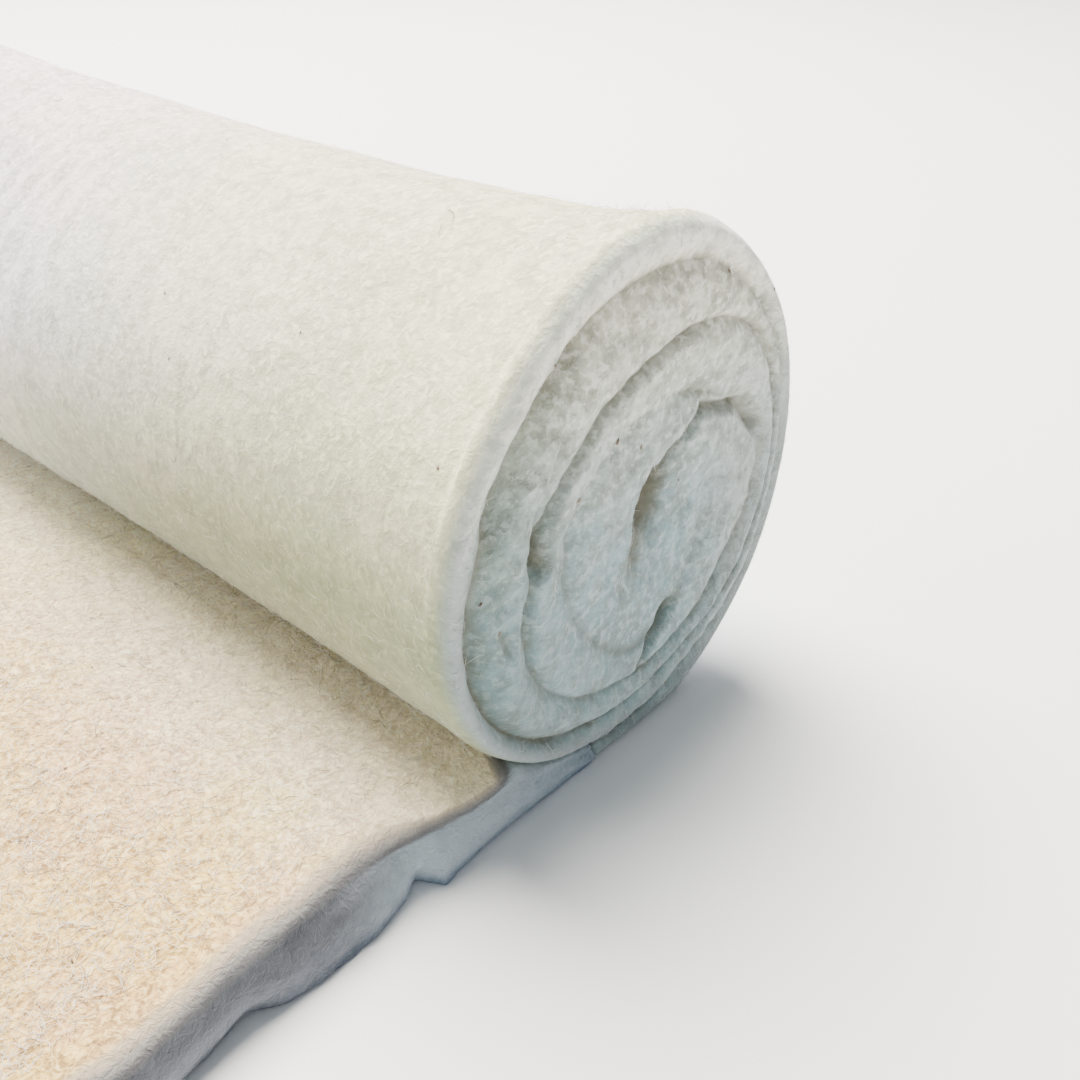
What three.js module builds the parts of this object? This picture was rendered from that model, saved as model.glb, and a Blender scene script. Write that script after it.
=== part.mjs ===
// A roll of quilt batting, lying on its side, with a loose end laid flat in front of it.
// One length of batting is wound from a loose end that runs under the roll, up its back,
// over its top and down its front, where the outer turn tucks in on top of the loose end.
// Millimetres, +Z up. +X runs along the roll to its near end, +Y is the back, -Y is the
// loose end's side. The origin is the middle of the bottom of the whole part.
import * as THREE from "three";
import { mergeVertices } from "three/addons/utils/BufferGeometryUtils.js";

// Driving dimensions
const HALF_HEIGHT = 55;
const ROLL_LENGTH = 450;
const LOOSE_REACH = 160;
const LOOSE_THICKNESS = 14;
const PIECE_GAP = 0.3;

// The spiral's middle lies a little behind the middle of the flat spot, at mid height.
const SPIRAL_MIDDLE = { y: 0.06 * HALF_HEIGHT, z: HALF_HEIGHT };
// The outer turn leaves the flat spot, next to the loose end, on this ray of the spiral.
const START_ANGLE = -106;
// On this ray the outer turn, coming down the front, meets the top of the loose end.
const CREASE_ANGLE = 228;

// Where each crevice between two turns lies on eight rays around the spiral's middle, seen
// from the near end, as shares of HALF_HEIGHT. A column carries on from the one before it.
const CREVICES = [
  { ray: -90, rim: 1.05, first: 0.93, second: 0.8, third: 0.72, fourth: 0.6 },
  { ray: -45, rim: 0.955, first: 0.87, second: 0.79, third: 0.71, fourth: 0.44 },
  { ray: 0, rim: 0.89, first: 0.8, second: 0.765, third: 0.67, fourth: 0.33 },
  { ray: 45, rim: 0.93, first: 0.84, second: 0.74, third: 0.45, fourth: 0.2 },
  { ray: 90, rim: 1.03, first: 0.91, second: 0.585, third: 0.39, fourth: 0.1 },
  { ray: 135, rim: 0.99, first: 0.88, second: 0.545, third: 0.39, fourth: 0.07 },
  { ray: 180, rim: 1.025, first: 0.92, second: 0.61, third: 0.445, fourth: 0.06 },
  { ray: 225, rim: 1.02, first: 0.95, second: 0.74, third: 0.485, fourth: 0.04 },
];

// How far each turn's edge stands out of the end, and how deep the crevice inside it is, as
// shares of HALF_HEIGHT. The crest is where the turn stands out most, across its thickness.
const TURNS = [
  { turn: "outer lip", stands_out: 0.035, crest: 0.42, crevice: 0.1 },
  { turn: "wide band", stands_out: 0.02, crest: 0.6, crevice: 0.075 },
  { turn: "thin ridge", stands_out: -0.005, crest: 0.35, crevice: 0.06 },
  { turn: "inner fold", stands_out: -0.02, crest: 0.45, crevice: 0.06 },
  { turn: "core", stands_out: -0.025, crest: 0.5, crevice: 0.12 },
];
// The rim's rounding, and the part of a turn over which the first crevice opens from it.
const RIM_DEPTH = 0.045;
const OPENING_PART = 0.125;

// The roll's size along its length, from the near end back, as shares of HALF_HEIGHT.
const LENGTHWISE = [
  { back: 0, size: 1 },
  { back: 0.12, size: 0.99 },
  { back: 0.4, size: 0.964 },
  { back: 1.2, size: 0.943 },
  { back: 2.6, size: 0.935 },
  { back: 4.1, size: 0.947 },
  { back: 5.6, size: 0.985 },
  { back: 7.1, size: 1.015 },
  { back: 7.9, size: 1.02 },
  { back: ROLL_LENGTH / HALF_HEIGHT, size: 1.03 },
];

// The loose end, row by row from the crease to its front edge: how far out the row lies, as
// a share of HALF_HEIGHT, its share of LOOSE_THICKNESS, and how far its near cut edge stands
// past the roll's near end, at the top edge and at the foot, as shares of HALF_HEIGHT. The
// foot is torn in at two places.
const LOOSE_ROWS = [
  { out: 0.75, thick: 0.93, top: -0.03, foot: -0.03 },
  { out: 0.86, thick: 0.94, top: -0.035, foot: -0.022 },
  { out: 0.96, thick: 0.96, top: -0.045, foot: -0.012 },
  { out: 1.02, thick: 0.98, top: -0.047, foot: 0.008 },
  { out: 1.08, thick: 1, top: -0.047, foot: -0.085 },
  { out: 1.15, thick: 1.02, top: -0.047, foot: -0.02 },
  { out: 1.32, thick: 1.06, top: -0.042, foot: 0.022 },
  { out: 1.55, thick: 1.06, top: -0.032, foot: 0.03 },
  { out: 1.68, thick: 1.04, top: -0.02, foot: -0.005 },
  { out: 1.78, thick: 1.04, top: -0.014, foot: -0.06 },
  { out: 1.92, thick: 1.02, top: -0.008, foot: -0.028 },
  { out: 2.15, thick: 1, top: 0.012, foot: 0.004 },
  { out: 2.5, thick: 1, top: 0.02, foot: 0.02 },
  { out: 2.78, thick: 0.98, top: 0.012, foot: 0.012 },
];

// The front edge is rounded in rows that run on from the last one above.
const FRONT_EDGE = [
  { short: 0.02, thick: 0.8 },
  { short: 0, thick: 0.45 },
];

// The loose end's two cut edges, from the foot up: how far each point stands out of the
// straight line from foot to top edge, and its height as a share of the thickness.
const NEAR_EDGE = [
  { toTop: 0, out: 0, height: 0 },
  { toTop: 0.5, out: 0.02, height: 0.4 },
  { toTop: 1, out: 0, height: 0.85 },
  { toTop: 1, out: -0.05, height: 1 },
];

// The loose end's top rises and falls a little along its length and across it.
const SWELL = { height: 0.35, wave_x: 230, wave_y: 70 };

// Steps of the meshes
const STEPS_PER_TURN = 36;
const STEPS_ACROSS_TURN = 4;
const TUCK_STEPS = 5;
const MERGE_DISTANCE = 1e-3;
const ROUNDING = 1e-6;

const DEGREE = Math.PI / 180;
const RAY_STEP = CREVICES[1].ray - CREVICES[0].ray;
const CREVICE_NAMES = ["rim", "first", "second", "third", "fourth"];
const SPIRAL_RADII = CREVICE_NAMES.flatMap((name) => CREVICES.map((row) => row[name]));
const END_ANGLE = START_ANGLE + 360 * CREVICE_NAMES.length;

// A smooth curve through evenly spaced values, zero past their end.
function smooth(values, place) {
  const index = Math.floor(place);
  const part = place - index;
  const value = (i) => (i < 0 ? values[0] : values[i] ?? 0);
  const [a, b, c, d] = [value(index - 1), value(index), value(index + 1), value(index + 2)];
  const bend = 2 * a - 5 * b + 4 * c - d + (3 * b - a - 3 * c + d) * part;
  return b + 0.5 * part * (c - a + part * bend);
}

// A value read off a table's column by straight lines between its rows.
function along(rows, key, column, place) {
  const next = rows.findIndex((row) => row[key] >= place);
  if (next === 0) return rows[0][column];
  if (next < 0) return rows[rows.length - 1][column];
  const [low, high] = [rows[next - 1], rows[next]];
  const part = (place - low[key]) / (high[key] - low[key]);
  return low[column] + part * (high[column] - low[column]);
}

// The spiral crevice at an angle that keeps growing as it winds in: its radius, cut off
// where the roll stands flat on the surface below.
function creviceRadius(angle) {
  if (angle > END_ANGLE - ROUNDING) return 0;
  const radius = smooth(SPIRAL_RADII, (angle - CREVICES[0].ray) / RAY_STEP) * HALF_HEIGHT;
  const drop = -Math.sin(angle * DEGREE);
  const floorRadius = drop > 0 ? SPIRAL_MIDDLE.z / drop : Infinity;
  return Math.max(0, Math.min(radius, floorRadius));
}

// A point of the roll's cross section, scaled about the flat spot's middle.
function sectionPoint(angle, radius, size) {
  return {
    y: size * (SPIRAL_MIDDLE.y + radius * Math.cos(angle * DEGREE)),
    z: Math.max(0, size * (SPIRAL_MIDDLE.z + radius * Math.sin(angle * DEGREE))),
  };
}

// Collects named corners and faces, and closes them into one body.
class Body {
  constructor() {
    this.positions = [];
    this.corners = [];
  }

  corner(x, y, z) {
    this.positions.push(x, y, z);
    return this.positions.length / 3 - 1;
  }

  quad(a, b, c, d) {
    this.corners.push(a, b, c, a, c, d);
  }

  geometry() {
    const geometry = new THREE.BufferGeometry();
    geometry.setAttribute("position", new THREE.Float32BufferAttribute(this.positions, 3));
    geometry.setIndex(this.corners);
    const merged = mergeVertices(geometry, MERGE_DISTANCE);
    const kept = [];
    const index = merged.index.array;
    for (let i = 0; i < index.length; i += 3) {
      const [a, b, c] = index.slice(i, i + 3);
      if (a !== b && b !== c && c !== a) kept.push(a, b, c);
    }
    merged.setIndex(kept);
    return merged;
  }
}

// How far a point of an end's relief stands out, across one turn's thickness.
function relief(turnNumber, windings, across) {
  const turn = TURNS[Math.min(turnNumber, TURNS.length - 1)];
  const outside = TURNS[Math.max(0, Math.min(turnNumber, TURNS.length) - 1)];
  const opening = Math.min(1, Math.max(0, (windings - 1) / OPENING_PART));
  const outer = RIM_DEPTH + (outside.crevice - RIM_DEPTH) * opening;
  const inner = turn.crevice;
  const side = across < turn.crest ? across / turn.crest : (1 - across) / (1 - turn.crest);
  const depth = across < turn.crest ? outer : inner;
  const rise = Math.sqrt(1 - (1 - side) ** 2);
  return (-depth + (turn.stands_out + depth) * rise) * HALF_HEIGHT;
}

// One end of the roll: the edge of the wound length, turn by turn, as a spiral of ridges.
// Outward is +1 at the near end and -1 at the far end.
function addEnd(body, endX, size, outward) {
  const turns = TURNS.length;
  const rows = [];
  for (let step = 0; step <= STEPS_PER_TURN * (turns + 1); step += 1) {
    const windings = step / STEPS_PER_TURN;
    const angle = START_ANGLE + 360 * windings;
    const radius = creviceRadius(angle);
    const innerRadius = creviceRadius(angle + 360);
    const row = [];
    for (let k = 0; k < STEPS_ACROSS_TURN; k += 1) {
      const across = k / STEPS_ACROSS_TURN;
      const turnNumber = Math.floor(windings + ROUNDING);
      const point = sectionPoint(angle, radius + (innerRadius - radius) * across, size);
      const out = relief(turnNumber, windings, across);
      row.push(body.corner(endX + outward * out, point.y, point.z));
    }
    rows.push(row);
  }
  const inwardRow = (step) => [...rows[step], rows[step + STEPS_PER_TURN][0]];
  for (let step = 0; step < STEPS_PER_TURN * turns; step += 1) {
    const here = inwardRow(step);
    const next = inwardRow(step + 1);
    for (let k = 0; k < STEPS_ACROSS_TURN; k += 1) {
      if (outward > 0) body.quad(here[k], next[k], next[k + 1], here[k + 1]);
      else body.quad(here[k], here[k + 1], next[k + 1], next[k]);
    }
  }
  const outline = rows.slice(0, STEPS_PER_TURN + 1).map((row) => row[0]);
  return [...outline, ...rows[0].slice(1).reverse()];
}

// The same outline at a station along the roll's length.
function addStation(body, x, size) {
  const ring = [];
  for (let step = 0; step <= STEPS_PER_TURN; step += 1) {
    const angle = START_ANGLE + (360 * step) / STEPS_PER_TURN;
    const point = sectionPoint(angle, creviceRadius(angle), size);
    ring.push(body.corner(x, point.y, point.z));
  }
  const outer = creviceRadius(START_ANGLE);
  const inner = creviceRadius(START_ANGLE + 360);
  for (let k = STEPS_ACROSS_TURN - 1; k > 0; k -= 1) {
    const across = k / STEPS_ACROSS_TURN;
    const point = sectionPoint(START_ANGLE, outer + (inner - outer) * across, size);
    ring.push(body.corner(x, point.y, point.z));
  }
  return ring;
}

// The roll: both ends' relief joined by the wall of the outer turn.
function rollGeometry() {
  const body = new Body();
  const last = LENGTHWISE[LENGTHWISE.length - 1];
  const rings = [addEnd(body, 0, LENGTHWISE[0].size, 1)];
  for (const row of LENGTHWISE.slice(1, -1)) {
    rings.push(addStation(body, -row.back * HALF_HEIGHT, row.size));
  }
  rings.push(addEnd(body, -last.back * HALF_HEIGHT, last.size, -1));
  for (let i = 0; i + 1 < rings.length; i += 1) {
    const [near, far] = [rings[i], rings[i + 1]];
    for (let k = 0; k < near.length; k += 1) {
      const next = (k + 1) % near.length;
      body.quad(near[k], far[k], far[next], near[next]);
    }
  }
  return body.geometry();
}

// The size of the roll at a place along its length.
function sizeAt(x) {
  return along(LENGTHWISE, "back", "size", -x / HALF_HEIGHT);
}

// The loose end's rows across its reach: first the tuck that runs in under the roll, a
// gap below it, then the rows of the table, then the rounded front edge.
function looseRows() {
  const rows = [];
  for (let step = 0; step <= TUCK_STEPS; step += 1) {
    const part = step / TUCK_STEPS;
    const angle = START_ANGLE + 360 + part * (CREASE_ANGLE - START_ANGLE - 360);
    rows.push({ angle, top: LOOSE_ROWS[0].top, foot: LOOSE_ROWS[0].foot });
  }
  for (const row of LOOSE_ROWS) rows.push(row);
  const front = LOOSE_ROWS[LOOSE_ROWS.length - 1];
  const reach = LOOSE_REACH / HALF_HEIGHT;
  for (const edge of FRONT_EDGE) {
    rows.push({ ...front, out: reach - edge.short, thick: front.thick * edge.thick });
  }
  return rows;
}

// A point on top of the loose end, and the height below which it is solid.
function looseTop(row, x) {
  if (row.angle === undefined) {
    const y = -row.out * HALF_HEIGHT;
    const wave = Math.sin((2 * Math.PI * x) / SWELL.wave_x) * Math.sin((2 * Math.PI * y) / SWELL.wave_y);
    return { y, z: row.thick * LOOSE_THICKNESS + SWELL.height * wave };
  }
  const point = sectionPoint(row.angle, creviceRadius(row.angle) + PIECE_GAP, sizeAt(x));
  return { y: point.y, z: point.z - PIECE_GAP / 2 };
}

// The loose end as a closed body: a ring of points round each row, from the foot of the
// near cut edge over the top to the far cut edge and back along the underside.
function looseGeometry() {
  const body = new Body();
  const farX = -ROLL_LENGTH;
  const stations = LENGTHWISE.slice(2, -1).map((row) => -row.back * HALF_HEIGHT);
  const rings = looseRows().map((row) => {
    const nearEdge = NEAR_EDGE.map((point) => {
      const line = row.foot + (row.top - row.foot) * point.toTop;
      return { x: (line + point.out) * HALF_HEIGHT, height: point.height };
    });
    const farEdge = NEAR_EDGE.map((point) => {
      return { x: farX - point.out * HALF_HEIGHT, height: point.height };
    });
    const profile = [
      ...nearEdge,
      ...stations.map((x) => ({ x, height: 1 })),
      ...farEdge.toReversed(),
      ...stations.toReversed().map((x) => ({ x, height: 0 })),
    ];
    return profile.map(({ x, height }) => {
      const top = looseTop(row, x);
      const slant = row.angle === undefined ? 0 : innerSlant(row, top.z, height);
      return body.corner(x, top.y + slant, top.z * height);
    });
  });
  for (let i = 0; i + 1 < rings.length; i += 1) {
    for (let k = 0; k < rings[i].length; k += 1) {
      const next = (k + 1) % rings[i].length;
      body.quad(rings[i][k], rings[i][next], rings[i + 1][next], rings[i + 1][k]);
    }
  }
  closeRing(body, rings[0], true);
  closeRing(body, rings[rings.length - 1], false);
  return body.geometry();
}

// The innermost row leans along the ray on which the roll's outer turn starts, a gap away.
function innerSlant(row, thickness, height) {
  const lean = Math.tan((START_ANGLE + 90) * DEGREE);
  const part = (row.angle - CREASE_ANGLE) / (START_ANGLE + 360 - CREASE_ANGLE);
  return part * (lean * thickness * (1 - height) - PIECE_GAP);
}

// Closes a ring whose top and underside carry the same stations.
function closeRing(body, ring, reversed) {
  const half = ring.length / 2;
  const under = (k) => ring[(ring.length - k) % ring.length];
  for (let k = 0; k < half; k += 1) {
    const corners = [ring[k], ring[k + 1], under(k + 1), under(k)];
    if (reversed) corners.reverse();
    body.quad(...corners);
  }
}

function namedMesh(name, geometry, colour) {
  const material = new THREE.MeshStandardMaterial({ color: colour, roughness: 0.95, metalness: 0 });
  const mesh = new THREE.Mesh(geometry, material);
  mesh.name = name;
  return mesh;
}

const battingRoll = new THREE.Group();
battingRoll.add(namedMesh("batting_roll", rollGeometry(), 0xe0dcce));
battingRoll.add(namedMesh("loose_end", looseGeometry(), 0xd8c9b1));

// The origin goes to the middle of the bottom of the whole part.
const middle = new THREE.Box3().setFromObject(battingRoll).getCenter(new THREE.Vector3());
for (const mesh of battingRoll.children) mesh.position.set(-middle.x, -middle.y, 0);

export default battingRoll;
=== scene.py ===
"""A roll of quilt batting with its loose end laid flat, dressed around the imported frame."""
import math

import bpy
import numpy as np
from mathutils import Matrix, Vector


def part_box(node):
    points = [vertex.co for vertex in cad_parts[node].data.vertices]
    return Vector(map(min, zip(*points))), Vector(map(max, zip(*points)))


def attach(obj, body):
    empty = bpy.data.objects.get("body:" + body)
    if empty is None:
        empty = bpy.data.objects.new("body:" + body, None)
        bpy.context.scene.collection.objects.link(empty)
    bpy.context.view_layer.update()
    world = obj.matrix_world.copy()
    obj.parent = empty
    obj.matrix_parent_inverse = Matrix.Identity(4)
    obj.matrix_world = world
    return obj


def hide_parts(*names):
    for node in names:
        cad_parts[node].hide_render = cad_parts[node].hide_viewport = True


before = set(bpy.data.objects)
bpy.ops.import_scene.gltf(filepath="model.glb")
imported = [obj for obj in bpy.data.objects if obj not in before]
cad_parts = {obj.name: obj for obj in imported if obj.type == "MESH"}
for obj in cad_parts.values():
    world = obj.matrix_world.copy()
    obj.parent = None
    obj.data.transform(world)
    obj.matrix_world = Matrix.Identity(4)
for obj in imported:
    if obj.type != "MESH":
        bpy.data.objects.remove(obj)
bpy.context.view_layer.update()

# Driving dimensions, in metres. Other lengths are in millimetres times MM, or in shares of
# the half height, and places are counted from the near end's foot.
HALF_HEIGHT = 0.055
ROLL_LENGTH = 0.45
LOOSE_THICKNESS = 0.014
PIECE_GAP = 0.0003
MM = 0.001

# The spiral's middle, above and behind the middle of the roll's flat spot
SPIRAL_Y = 0.06 * HALF_HEIGHT
SPIRAL_Z = HALF_HEIGHT
START_ANGLE = -106.0
CREASE_ANGLE = 228.0

# Where each crevice lies on eight rays around the spiral's middle, as shares of the half
# height. Each row carries on from the one before it.
FIRST_RAY = -90
RAY_STEP = 45
CREVICES = {
    "rim": [1.05, 0.955, 0.89, 0.93, 1.03, 0.99, 1.025, 1.02],
    "first": [0.93, 0.87, 0.8, 0.83, 0.865, 0.84, 0.885, 0.93],
    "second": [0.8, 0.79, 0.765, 0.74, 0.585, 0.545, 0.61, 0.74],
    "third": [0.72, 0.71, 0.67, 0.45, 0.39, 0.39, 0.445, 0.485],
    "fourth": [0.6, 0.44, 0.33, 0.2, 0.1, 0.07, 0.06, 0.04],
}
SPIRAL_RADII = np.concatenate(list(CREVICES.values()))
END_ANGLE = START_ANGLE + 360 * len(CREVICES)

# How far each turn's edge stands out of the end, where it does so most across the turn's
# thickness, how steeply it falls to either side, and how fluffy it is
TURNS = [
    {"turn": "outer lip", "out": 0.018, "crest": 0.36, "outer_fall": 2.6, "inner_fall": 2.0, "fluff": 0.4},
    {"turn": "wide band", "out": 0.026, "crest": 0.48, "outer_fall": 2.0, "inner_fall": 3.2, "fluff": 1.2},
    {"turn": "thin ridge", "out": 0.026, "crest": 0.26, "outer_fall": 2.6, "inner_fall": 1.7, "fluff": 0.4},
    {"turn": "inner fold", "out": 0.012, "crest": 0.3, "outer_fall": 2.6, "inner_fall": 4.0, "fluff": 0.9},
    {"turn": "core", "out": -0.006, "crest": 0.50, "outer_fall": 3.5, "inner_fall": 2.0, "fluff": 1.0},
]

# How deep each crevice is on the same eight rays. Round the rim it is the same.
CREVICE_DEPTHS = {
    "rim": [0.045] * 8,
    "first": [0.02, 0.005, 0.002, 0.003, 0.018, 0.028, 0.042, 0.038],
    "second": [0.016, 0.014, 0.012, 0.014, 0.018, 0.012, 0.014, 0.014],
    "third": [0.014, 0.01, 0.008, 0.018, 0, 0.004, 0.012, 0.012],
    "fourth": [0.016, 0.006, 0, 0, 0, 0, 0, 0.006],
}
RAY_DEPTHS = np.concatenate(list(CREVICE_DEPTHS.values()))

# The roll's size along its length, from the near end back
LENGTHWISE = {
    "back": [0, 0.12, 0.4, 1.2, 2.6, 4.1, 5.6, 7.1, 7.9, ROLL_LENGTH / HALF_HEIGHT],
    "size": [1, 0.99, 0.964, 0.943, 0.935, 0.947, 0.985, 1.015, 1.02, 1.03],
}

# The loose end from the crease to its front edge: how far out, how thick, and how far its
# near cut edge stands past the roll's near end at the top edge and at the torn foot
LOOSE_PROFILE = {
    "out": [0.75, 0.86, 0.96, 1.02, 1.08, 1.15, 1.32, 1.55, 1.68, 1.78, 1.92, 2.15, 2.5, 2.78],
    "thick": [0.93, 0.94, 0.96, 0.98, 1, 1.02, 1.06, 1.06, 1.04, 1.04, 1.02, 1, 1, 0.98],
    "top": [-0.03, -0.035, -0.045, -0.047, -0.047, -0.047, -0.042, -0.032, -0.02, -0.014,
            -0.008, 0.012, 0.02, 0.012],
    "foot": [-0.03, -0.022, -0.012, 0.008, -0.085, -0.02, 0.022, 0.03, -0.005, -0.06,
             -0.028, 0.004, 0.02, 0.012],
}
SWELL = {"height": 0.00035, "wave_x": 0.23, "wave_y": 0.07}

# The near end's place in the frame, from the roll's box: the lip stands out of the end, and
# the back is widest at the far end
LIP_PROUD = 0.001854
BACK_REACH = 0.05372
roll_low, roll_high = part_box("batting_roll")
NEAR_X = roll_high[0] - LIP_PROUD
MIDDLE_Y = roll_high[1] - BACK_REACH

# The camera, from the near end's foot, in metres; angles in degrees
CAMERA_OFFSET = (0.11767, -0.15997, 0.17555)
CAMERA_TURN = 41.76
CAMERA_TILT = 32.71
CAMERA_LEAN = -0.32
CAMERA_LENS = 40.43
SENSOR = 36.0


# Smooth noise on a lattice, the same on every run

def lattice_value(i, j, k, seed):
    """A fixed value from -1 to 1 for each lattice corner."""
    mixed = (i * 374761393 + j * 668265263 + k * 2147483629 + seed * 1446657) & 0xFFFFFFFF
    mixed = ((mixed ^ (mixed >> 13)) * 1274126177) & 0xFFFFFFFF
    mixed = mixed ^ (mixed >> 16)
    return mixed / 2147483648.0 - 1.0


def noise(points, size, seed):
    """Smooth noise from -1 to 1 at points, with lumps of the given size in metres."""
    grid = points / size
    base = np.floor(grid).astype(np.int64)
    part = grid - base
    part = part * part * (3 - 2 * part)
    total = np.zeros(points.shape[:-1])
    for corner in range(8):
        step = [(corner >> axis) & 1 for axis in range(3)]
        weight = np.ones(points.shape[:-1])
        for axis in range(3):
            share = part[..., axis]
            weight = weight * (share if step[axis] else 1 - share)
        total += weight * lattice_value(*(base[..., axis] + step[axis] for axis in range(3)), seed)
    return total


# The roll's form, as functions of the angle that keeps growing as the spiral winds in

def smooth(values, place):
    """A smooth curve through evenly spaced values, zero past their end."""
    index = np.floor(place).astype(int)
    part = place - index

    def value(k):
        k = np.maximum(k, 0)
        return np.where(k < len(values), values[np.minimum(k, len(values) - 1)], 0.0)

    a, b, c, d = value(index - 1), value(index), value(index + 1), value(index + 2)
    bend = 2 * a - 5 * b + 4 * c - d + (3 * b - a - 3 * c + d) * part
    return b + 0.5 * part * (c - a + part * bend)


def column(rows, key):
    return np.array([row[key] for row in rows], float)


def size_at(x):
    """The roll's size at places along its length, x running back from the near end."""
    return np.interp(-x / HALF_HEIGHT, LENGTHWISE["back"], LENGTHWISE["size"])


def crevice_radius(angle):
    """The spiral crevice's radius, cut off where the roll stands flat on the floor."""
    radius = smooth(SPIRAL_RADII, (angle - FIRST_RAY) / RAY_STEP) * HALF_HEIGHT
    windings = (angle - START_ANGLE) / 360
    unit = np.stack([np.cos(np.radians(angle)), np.sin(np.radians(angle)), windings], -1)
    loose = np.clip((windings - 1.02) * 6, 0, 1) * np.clip((len(TURNS) - windings) * 2, 0, 1)
    radius = radius + loose * (0.6 * MM * noise(unit, 0.35, 5) + 0.2 * MM * noise(unit, 0.12, 6))
    drop = -np.sin(np.radians(angle))
    floor_radius = np.where(drop > 1e-6, SPIRAL_Z / np.maximum(drop, 1e-6), np.inf)
    radius = np.clip(np.minimum(radius, floor_radius), 0, None)
    return np.where(angle > END_ANGLE - 1e-6, 0.0, radius)


def section_point(angle, radius, size):
    """y and z of a point of the cross section, scaled about the flat spot."""
    y = size * (SPIRAL_Y + radius * np.cos(np.radians(angle)))
    z = np.maximum(0, size * (SPIRAL_Z + radius * np.sin(np.radians(angle))))
    return y, z


def layer_at(windings):
    """A turn's angle, and the radii of the crevices outside and inside it."""
    angle = START_ANGLE + 360 * windings
    return angle, crevice_radius(angle), crevice_radius(angle + 360)


def turn_value(key, windings):
    """A column of the turns' table along the spiral, easing from each turn to the next."""
    ease = 0.12
    starts = np.arange(len(TURNS))
    knots = np.stack([starts + ease, starts + 1 - ease], -1).ravel()
    return np.interp(windings, knots, np.repeat(column(TURNS, key), 2))


def crevice_depth(angle):
    rays = FIRST_RAY + RAY_STEP * np.arange(len(RAY_DEPTHS))
    return np.interp(angle, rays, RAY_DEPTHS)


def relief(windings, across, uneven=1.0):
    """How far an end's surface stands out, as a share of the half height."""
    angle = START_ANGLE + 360 * windings
    inner = crevice_depth(angle + 360) * uneven
    outer = crevice_depth(angle) * np.where(windings < 1, 1.0, uneven)
    crest = turn_value("crest", windings)
    stands_out = turn_value("out", windings)
    on_outer = across < crest
    side = np.where(on_outer, across / crest, (1 - across) / (1 - crest))
    depth = np.where(on_outer, outer, inner)
    fall = np.where(on_outer, turn_value("outer_fall", windings), turn_value("inner_fall", windings))
    rise = 1 - np.clip(1 - side, 0, 1) ** fall
    return -depth + (stands_out + depth) * rise


# Small hollows and folds of the near end, in shares of the half height: from where to
# where, how wide and how deep
HOLLOWS = [
    {"at": "hole in the middle", "from": (0.11, 1.06), "to": (0.07, 0.93), "wide": 0.054, "deep": 0.10},
    {"at": "foot of the hole", "from": (0.05, 0.90), "to": (0.01, 0.80), "wide": 0.05, "deep": 0.045},
    {"at": "soft dip round it", "from": (0.11, 1.05), "to": (0.03, 0.78), "wide": 0.10, "deep": 0.03},
    {"at": "fold into the middle", "from": (0.20, 1.17), "to": (0.12, 1.06), "wide": 0.035, "deep": 0.04},
    {"at": "fold over the middle", "from": (0.34, 1.28), "to": (0.20, 1.17), "wide": 0.022, "deep": 0.03},
    {"at": "arch of the fold", "from": (0.34, 1.28), "to": (0.60, 1.20), "wide": 0.022, "deep": 0.055},
    {"at": "corner of the fold", "from": (0.60, 1.20), "to": (0.70, 1.08), "wide": 0.035, "deep": 0.045},
    {"at": "slit low down", "from": (0.23, 0.48), "to": (0.16, 0.42), "wide": 0.024, "deep": 0.065},
    {"at": "tail of the slit", "from": (0.16, 0.42), "to": (0.04, 0.31), "wide": 0.016, "deep": 0.05},
    {"at": "gap low on the right", "from": (0.62, 0.62), "to": (0.50, 0.45), "wide": 0.02, "deep": 0.03},
    {"at": "dent in the band", "from": (-0.53, 1.14), "to": (-0.52, 1.04), "wide": 0.04, "deep": 0.045},
    {"at": "dent by the lip", "from": (-0.70, 0.86), "to": (-0.68, 0.80), "wide": 0.026, "deep": 0.024},
    {"at": "second turn's crease", "from": (-0.42, 1.48), "to": (-0.56, 1.13), "wide": 0.02, "deep": 0.02},
    {"at": "dent by the fold", "from": (0.45, 0.95), "to": (0.38, 0.72), "wide": 0.05, "deep": 0.018},
]


def hollow_depth(y, z, sharp=0.0):
    """How deep the near end's hollows, or only the sharp ones, are at a place given in
    shares of the half height."""
    total = np.zeros_like(y)
    for row in HOLLOWS:
        if row["deep"] < sharp * row["wide"]:
            continue
        (y0, z0), (y1, z1) = row["from"], row["to"]
        dy, dz = y1 - y0, z1 - z0
        share = np.clip(((y - y0) * dy + (z - z0) * dz) / (dy * dy + dz * dz), 0, 1)
        away = (y - y0 - share * dy) ** 2 + (z - z0 - share * dz) ** 2
        total = np.maximum(total, row["deep"] * np.exp(-away / row["wide"] ** 2))
    return total


def puffs(place, size, seed):
    """Rounded tufts with creases between them, from -1 to 1."""
    return 1 - 3 * np.abs(noise(place, size, seed))


def fluff_of(windings):
    """How fluffy a turn's edge is: a thin layer less so."""
    _, outer, inner = layer_at(windings)
    return turn_value("fluff", windings) * np.clip((outer - inner) / (9 * MM), 0.25, 1)


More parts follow.
